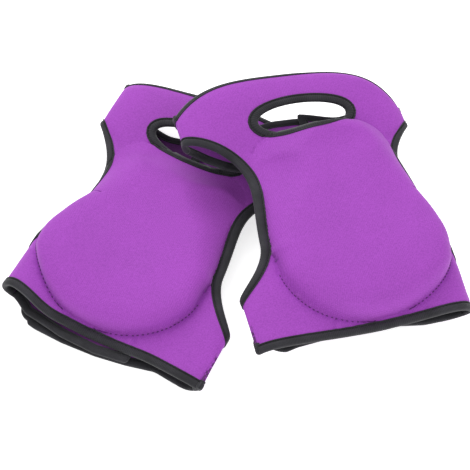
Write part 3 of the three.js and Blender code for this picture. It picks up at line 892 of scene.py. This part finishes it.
def make_lights():
    world = bpy.data.worlds.new("studio")
    bpy.context.scene.world = world
    world.use_nodes = True
    sky = world.node_tree.nodes["Background"]
    sky.inputs["Color"].default_value = (1.0, 1.0, 1.0, 1.0)
    sky.inputs["Strength"].default_value = 0.75
    lamps = {
        "key": ((-0.7, 1.4, 1.7), 1.4, 24.0),
        "fill": ((0.9, -1.6, 1.3), 1.6, 8.0),
        "top": ((0.1, 0.1, 2.4), 2.0, 9.0),
    }
    for name, (at, size, power) in lamps.items():
        data = bpy.data.lights.new(name, "AREA")
        data.shape = "SQUARE"
        data.size = size
        data.energy = power
        lamp = bpy.data.objects.new(name, data)
        lamp.location = at
        target = np.array([0.0, 0.0, 0.02]) - np.array(at)
        lamp.rotation_euler = Vector(target).to_track_quat("-Z", "Y").to_euler()
        bpy.context.scene.collection.objects.link(lamp)


make_floor()
make_lights()


# ---- the front of a pad ----


def side_curve(side, beyond, pad):
    """The C-shaped cut from the calf band up to the thigh band, moved outwards by beyond."""
    angle = np.linspace(0, math.pi / 2, 60)
    end, start, _ = HIGH_CUT[side]
    low = BAND_LOW + FLARE_LOW * (1 - np.cos(angle))
    high = end - (end - start) * (1 - np.sin(angle))
    v = np.concatenate([low, np.linspace(low[-1], high[0], 12)[1:-1], high])
    line = resample(np.stack([cut_edge(side, v, pad), v], -1), 1.0)
    _, normal = outward(line)
    normal[0], normal[-1] = (0.0, 1.0), (0.0, -1.0)
    return (line + normal * beyond) * np.array([side, 1.0])


SHEET_SIDE = SIDE_OUTER - TAPE_SEAT


def top_route(inward, pad):
    arc = half_arc(PAD_LENGTH)
    s = np.linspace(arc + FOLD_RETURN, -arc - FOLD_RETURN, 160)
    x = np.sin((math.pi / 2) * np.clip(s / arc, -1, 1))
    return np.stack([s, top_edge(x, pad) - inward], -1)


def bottom_route(inward, pad):
    arc = half_arc(0)
    s = np.linspace(-arc - FOLD_RETURN, arc + FOLD_RETURN, 160)
    return np.stack([s, inward + pad["fold_rise"] * smooth(arc - 6, arc + FOLD_RETURN, -s)], -1)


def hole_route(beyond, pad):
    angle = np.linspace(0, 2 * math.pi, 240, endpoint=False)[::-1]
    u = pad["hole"][0] + (HOLE_HALF_WIDTH + beyond) * np.cos(angle)
    v = pad["hole"][1] + (HOLE_HALF_HEIGHT + beyond) * np.sin(angle)
    return np.stack([developed(u, v), v], -1)


def fine_zone(p, pad):
    """Where the front sheet bends sharply: beside the foam's outline."""
    arc = half_arc(p[:, 1])
    x = np.sin((math.pi / 2) * np.clip(p[:, 0] / arc, -1, 1))
    u, v = x * half_width(p[:, 1]), p[:, 1]
    inset = pillow_inset(u, v, pad)
    beside = (inset > -9) & (inset < 16) & (np.abs(p[:, 0]) < arc + 4)
    return beside | ((np.abs(u + 30) < 14) & (v < 24))


def front_sheet(pad):
    facts = pad.facts
    left, right = (side_curve(side, SHEET_SIDE, facts) for side in (-1, 1))
    outline = [bottom_route(TAPE_SEAT, facts), right, top_route(TAPE_SEAT, facts), left[::-1]]
    loop = resample(np.concatenate(outline), RIM_STEP, closed=True)
    hole = resample(hole_route(TAPE_SEAT, facts), 2.0, closed=True)
    flat = fill(loop, [hole], step=3.2, fine=lambda p: fine_zone(p, facts), fine_step=1.6)
    points, faces, uv = thick_sheet(flat, pad.surface, SHEET_HALF)
    obj = pad.mesh("front_panel", points, faces, "neoprene", "neoprene", uv)
    paint_inside_shade(obj, flat)
    low, high = flat[0].min(0), flat[0].max(0)
    return obj, (high - low) * MM, flat[3] * MM * MM


def tape_pieces(pad):
    """The edge tapes of the front sheet, each with its row of stitches."""
    facts = pad.facts
    routes = {
        "top": top_route(0.0, facts),
        "bottom": bottom_route(0.0, facts),
        "inner_side": side_curve(-1, SIDE_OUTER, facts)[::-1],
        "outer_side": side_curve(1, SIDE_OUTER, facts),
        "hole": hole_route(0.0, facts),
    }
    made, rows = [], []
    for name, route in routes.items():
        closed = name == "hole"
        width, half = (HOLE_TAPE_WIDTH, HOLE_TAPE_HALF) if closed else (TAPE_WIDTH, TAPE_HALF)
        path = resample(route, RIM_STEP, closed)
        points, faces, uv = sweep(path, pad.surface, tape_section(width, half, SHEET_HALF), closed)
        obj = pad.mesh(f"{name}_tape", points, faces, "edge_tape", "edge_tape", uv)
        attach(obj, f"{pad.name}_pad")
        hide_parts(f"{pad.name}_{name}_binding")
        made.append(obj)
        line = path - outward(path, closed)[1] * (width - SEAM_INSET)
        rows.append(stitch_row(line, pad.surface, 1.95, closed=closed, radius=0.45))
    points, faces = joined(rows)
    threads = pad.mesh("tape_stitches", points, faces, "tape_thread", "thread")
    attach(threads, f"{pad.name}_pad")
    return made


def pocket_line(a0, a1, count=400):
    """Part of the pocket's sewn outline, by angle about the foam's widest point."""
    angle = np.linspace(a0, a1, count)
    v = FOAM_WIDEST - (FOAM_WIDEST - FOAM_BOTTOM + STITCH_OUTSIDE) * np.cos(angle)
    u = foam_centre(v) + (FOAM_HALF_LOW + STITCH_OUTSIDE) * np.sin(angle)
    x = np.clip(u / half_width(v), -0.999, 0.999)
    return np.stack([half_arc(v) * (2 / math.pi) * np.arcsin(x), v], -1)


POCKET_RUNS = {"inner": (-1.5, -0.09), "outer": (0.34, 1.5)}
BACK_TACK = 0.15  # the sewing goes back over itself this far at the middle


def pocket_stitches(pad):
    height = SHEET_HALF + 0.12
    for name, (a0, a1) in POCKET_RUNS.items():
        end = (a1 - BACK_TACK, a1) if name == "inner" else (a0, a0 + BACK_TACK * 0.5)
        run, back = pocket_line(a0, a1), pocket_line(*end)
        rows = [
            stitch_row(run, pad.surface, height, pitch=3.9, length=2.6, radius=0.55),
            stitch_row(back, pad.surface, height + 0.3, pitch=2.4, length=3.4, radius=0.4, slant=0.6),
        ]
        points, faces = joined(rows)
        obj = pad.mesh(f"pocket_stitches_{name}", points, faces, "thread", "thread")
        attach(obj, f"{pad.name}_pad")
        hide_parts(f"{pad.name}_pocket_stitching_{name}")


# ---- the foam and its lining ----


def outline_loop(inset):
    """The pocket's outline in u, v, moved inwards."""
    angle = np.linspace(-math.pi / 2, math.pi / 2, 120)
    v = FOAM_WIDEST - (FOAM_WIDEST - FOAM_BOTTOM - inset) * np.cos(angle)
    u = foam_centre(v) + (FOAM_HALF_LOW - inset) * np.sin(angle)
    side_v = np.linspace(FOAM_WIDEST, FOAM_TOP - FOAM_CORNER, 60)
    half = foam_half(side_v) - inset
    turn = np.linspace(0, math.pi / 2, 30)
    corner = FOAM_CORNER - inset
    corner_v = FOAM_TOP - FOAM_CORNER + corner * np.sin(turn)
    corner_half = foam_half(corner_v) - FOAM_CORNER + corner * np.cos(turn)
    runs = [(half, side_v), (corner_half, corner_v)]
    up = [np.stack([foam_centre(at) + reach, at], -1) for reach, at in runs]
    down = [np.stack([foam_centre(at) - reach, at], -1)[::-1] for reach, at in runs[::-1]]
    return np.concatenate([np.stack([u, v], -1), *up, *down])


def slimmed(pad, u, v):
    """Foam positions pulled in on the outer side, like the cushion over them."""
    across = u - foam_centre(v)
    return np.where(across > 0, u - across * (slim(v, pad.facts) + 2.0) / foam_half(v), u)


def settled(pad, u, v, w):
    """Points under the front, carried along as its calf edge sags."""
    v2, w2 = settle(u, v, w, developed(u, v), pad.facts)
    return np.stack([u, v2, w2], -1)


def layer(pad, name, inset, low, high, round_edge, material):
    """A foam layer between two heights above the bare front, with rounded edges."""
    loop = resample(outline_loop(inset), 4.0, closed=True)
    verts, tris, rim, _ = fill(loop, (), step=6.0)
    u, v = slimmed(pad, verts[:, 0], verts[:, 1]), verts[:, 1]
    base = front_height(u / half_width(v), v, pad.facts)
    room = np.clip(clearance(verts, loop) / round_edge, 0, 1)
    dome = np.sqrt(1 - (1 - room) ** 2)
    bottom, top = base + low(u, v), base + high(u, v)
    middle = (bottom + top) / 2
    thick = (top - bottom) / 2
    share = 0.35 + 0.65 * dome
    points = np.concatenate([settled(pad, u, v, middle + s * thick * share) for s in (1, -1)])
    faces = skins(tris, rim, len(verts))
    obj = pad.mesh(name, points, faces, material, material, np.concatenate([verts, verts]))
    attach(obj, f"{pad.name}_pad")
    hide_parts(f"{pad.name}_{name}")
    return obj


LINING_FACE = -SHEET_HALF - 1.2
COMFORT_THICK = 8


def foam_layers(pad):
    def room(u, v):
        return bulge(u, v, pad.facts)[0]

    def comfort_top(u, v):
        return np.clip(room(u, v) - 5.0, LINING_FACE + 0.9, LINING_FACE + COMFORT_THICK)

    comfort = layer(
        pad, "comfort_foam", 12, lambda u, v: LINING_FACE + 0.7 + 0 * u, comfort_top, 5.0, "comfort_foam",
    )
    eva = layer(
        pad, "eva_foam", 22, lambda u, v: comfort_top(u, v) + 0.5,
        lambda u, v: np.maximum(room(u, v) - 6.0, comfort_top(u, v) + 0.7), 6.0, "eva_foam",
    )
    loop = resample(outline_loop(-1.5), 3.0, closed=True)
    flat = fill(loop, (), step=5.0)

    def lining_surface(p):
        u, v = slimmed(pad, p[..., 0], p[..., 1]), p[..., 1]
        w = front_height(np.clip(u / half_width(v), -1, 1), v, pad.facts) + LINING_FACE - 0.6
        return settled(pad, u, v, w)

    points, faces, uv = thick_sheet(flat, lining_surface, 0.5)
    lining = pad.mesh("pocket_lining", points, faces, "lining", "lining", uv)
    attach(lining, f"{pad.name}_pad")
    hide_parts(f"{pad.name}_pocket_lining")


# ---- straps ----


PATCH_MARGIN, PATCH_CORNER = 11.0, 4.0
PATCH_HALF, PATCH_STITCH_INSET = 0.45, 2.2


def patch_loop(strap):
    """A rounded outline for a hook or loop patch, clear of the strap's tape."""
    low_u, high_u = strap.facts["patch"]
    near, far = sorted(strap.distance(u) for u in (low_u, high_u))
    loop = []
    for k, (d, inward, upward) in enumerate([(far, -1, 1), (far, -1, -1), (near, 1, -1), (near, 1, 1)]):
        low, high = strap.edges(np.array([d]))
        v = low[0] + PATCH_MARGIN if upward > 0 else high[0] - PATCH_MARGIN
        corner = np.array([d + inward * PATCH_CORNER, v + upward * PATCH_CORNER])
        for a in (k - 1) * math.pi / 2 + np.linspace(0, math.pi / 2, 6):
            loop.append(corner + PATCH_CORNER * np.array([math.cos(a), math.sin(a)]))
    return resample(np.array(loop), 2.0, closed=True)


def patch_piece(pad, strap, kind, label, face):
    """A hook or loop patch sewn to one face of a strap: backing, pile and a row of stitches."""
    loop = patch_loop(strap)
    seat = face * (SHEET_HALF + PATCH_HALF)
    plate = fill(loop, (), step=4.0)

    def surface(p):
        return offset(strap.surface, p, seat)

    points, faces, _ = thick_sheet(plate, surface, PATCH_HALF)
    spots = hex_grid(loop.min(0), loop.max(0), 2.6 if label == "hook" else 2.2)
    spots = spots[inside(spots, loop)]
    spots = spots[clearance(spots, loop) > PATCH_STITCH_INSET + 1.0]
    lean = 0.15 if label == "hook" else 0.9
    here = offset(strap.surface, spots, seat + face * (PATCH_HALF + 0.35))
    near = offset(strap.surface, spots, seat)
    away = unit(here - near)
    side = unit(offset(strap.surface, spots + np.array([0.5, 0.0]), seat) - near)
    along = unit(away + lean * side)
    across = unit(np.cross(along, side))
    pile = capsules(here, along, across, np.cross(across, along), 0.95, 0.28)
    piece = pad.mesh(f"{kind}_{label}_patch_pile", *joined([(points, faces), pile]), label, label)
    inset = loop - outward(loop, True)[1] * PATCH_STITCH_INSET
    rows = stitch_row(inset, strap.surface, seat + face * (PATCH_HALF + 0.1), closed=True)
    thread_piece = pad.mesh(f"{kind}_{label}_patch_stitches", *rows, "tape_thread", "thread")
    return piece, thread_piece


def strap_pieces(pad, kind):
    body, tab = f"{pad.name}_pad", f"{pad.name}_{kind}_tab"
    for side in (-1, 1):
        strap = Strap(pad.facts, kind, side)
        label = "outer" if side < 0 else "inner"
        loop = resample(strap.route(TAPE_SEAT), RIM_STEP, closed=True)
        flat = fill(loop, (), step=4.0)
        points, faces, uv = thick_sheet(flat, strap.surface, SHEET_HALF)
        cloth = pad.mesh(f"{kind}_{label}_strap_cloth", points, faces, "neoprene", "neoprene", uv)
        paint_inside_shade(cloth, flat)
        path = resample(strap.route(0.0), RIM_STEP)
        section = tape_section(TAPE_WIDTH, strap.tape_half, SHEET_HALF)
        points, faces, uv = sweep(path, strap.surface, section)
        tape = pad.mesh(f"{kind}_{label}_strap_tape", points, faces, "edge_tape", "edge_tape", uv)
        line = resample(strap.route(TAPE_WIDTH - SEAM_INSET), RIM_STEP)
        stitches = pad.mesh(
            f"{kind}_{label}_strap_stitches", *stitch_row(line, strap.surface, 1.75), "tape_thread", "thread",
        )
        patch_kind, face = ("hook", -1.0) if side < 0 else ("loop", 1.0)
        patch, patch_thread = patch_piece(pad, strap, kind, patch_kind, face)
        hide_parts(f"{pad.name}_{kind}_{patch_kind}_patch")
        if side < 0:
            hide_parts(f"{pad.name}_{kind}_outer_strap", f"{pad.name}_{kind}_tab")
            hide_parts(f"{pad.name}_{kind}_tab_binding")
            strap_pieces.pending.append(([cloth, tape, stitches], body, tab, pad, kind))
            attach(patch, tab)
            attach(patch_thread, tab)
        else:
            for obj in (cloth, tape, stitches, patch, patch_thread):
                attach(obj, body)
            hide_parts(f"{pad.name}_{kind}_inner_strap")
            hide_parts(f"{pad.name}_{kind}_inner_binding")


strap_pieces.pending = []


def make_pad(name):
    pad = Pad(name)
    panel, size, area = front_sheet(pad)
    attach(panel, f"{name}_pad")
    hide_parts(f"{name}_body_panel")
    tapes = tape_pieces(pad)
    pocket_stitches(pad)
    foam_layers(pad)
    for kind in ("upper", "lower"):
        strap_pieces(pad, kind)


for pad_name in ("left", "right"):
    make_pad(pad_name)

for riders, body, tab, pad, kind in strap_pieces.pending:
    hinge, mid = STRAPS[kind]["hinge"], STRAPS[kind]["mid"]
    bend = pad.world(np.array([[hinge - 8.0, mid, OUTER_LEVEL], [hinge + 8.0, mid, OUTER_LEVEL]]))
    for obj in riders:
        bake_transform(obj)
